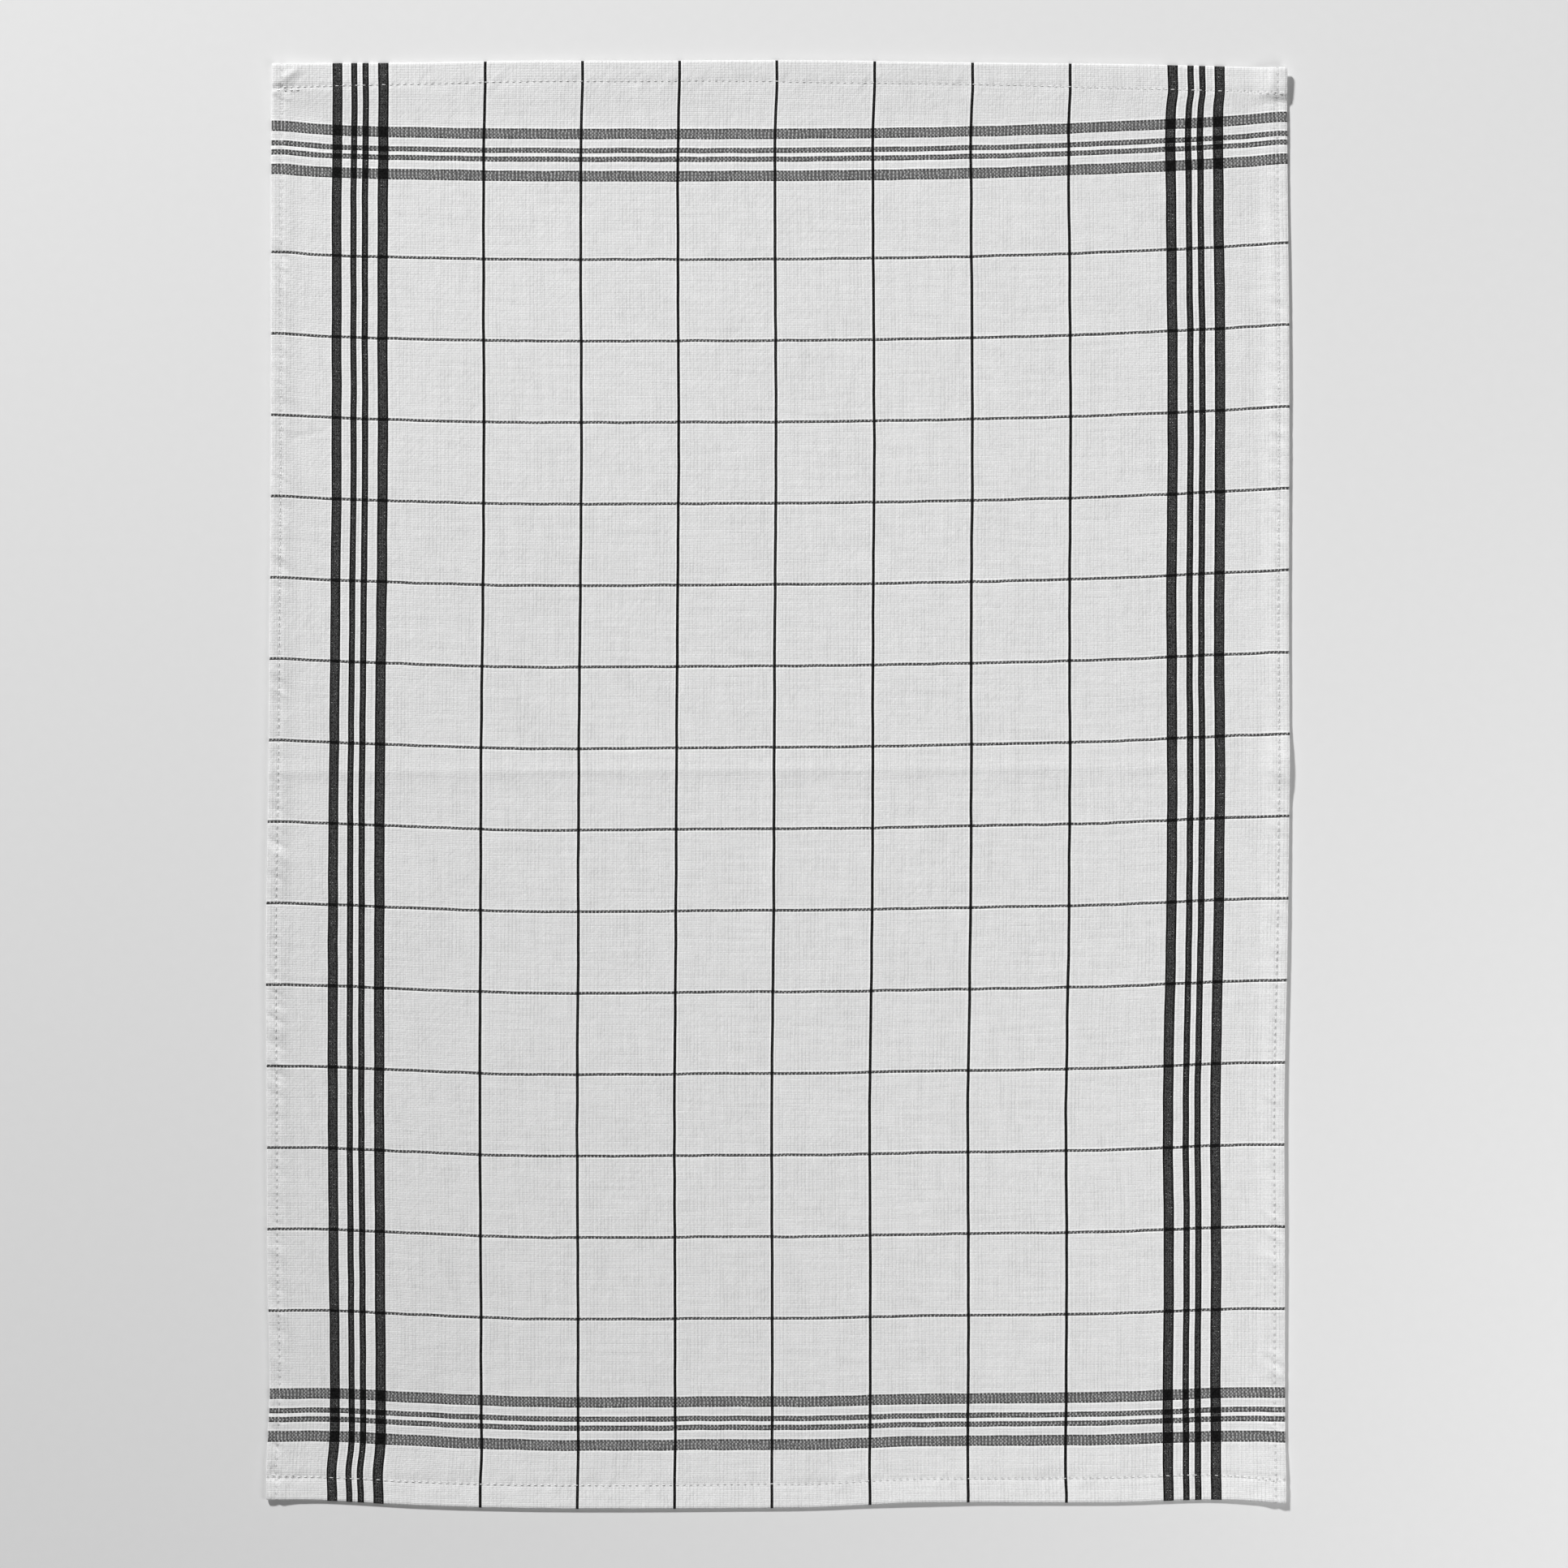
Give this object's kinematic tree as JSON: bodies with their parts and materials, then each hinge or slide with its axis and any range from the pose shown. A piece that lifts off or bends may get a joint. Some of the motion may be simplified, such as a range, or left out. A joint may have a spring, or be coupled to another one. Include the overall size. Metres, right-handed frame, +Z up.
{
  "type": "tea towel",
  "caption": "Flat woven kitchen towel with narrow turned hems, lying spread out on its underside, for drying dishes.",
  "frame": {"origin": "centre of the bounding box's bottom face, on the surface the towel lies on", "axes": "+Y along the lengthwise threads, towards the hem shown at the top; +X across, towards the hem shown at the right; +Z up, out of the face side"},
  "size_m": [0.499, 0.7062, 0.0057],
  "materials": {
    "cotton_linen": "matt plain-woven cotton and linen, off-white with dark grey yarn-dyed stripes and checks"
  },
  "bodies": {
    "root": {"tea_towel": "cotton_linen"}
  },
  "joints": []
}
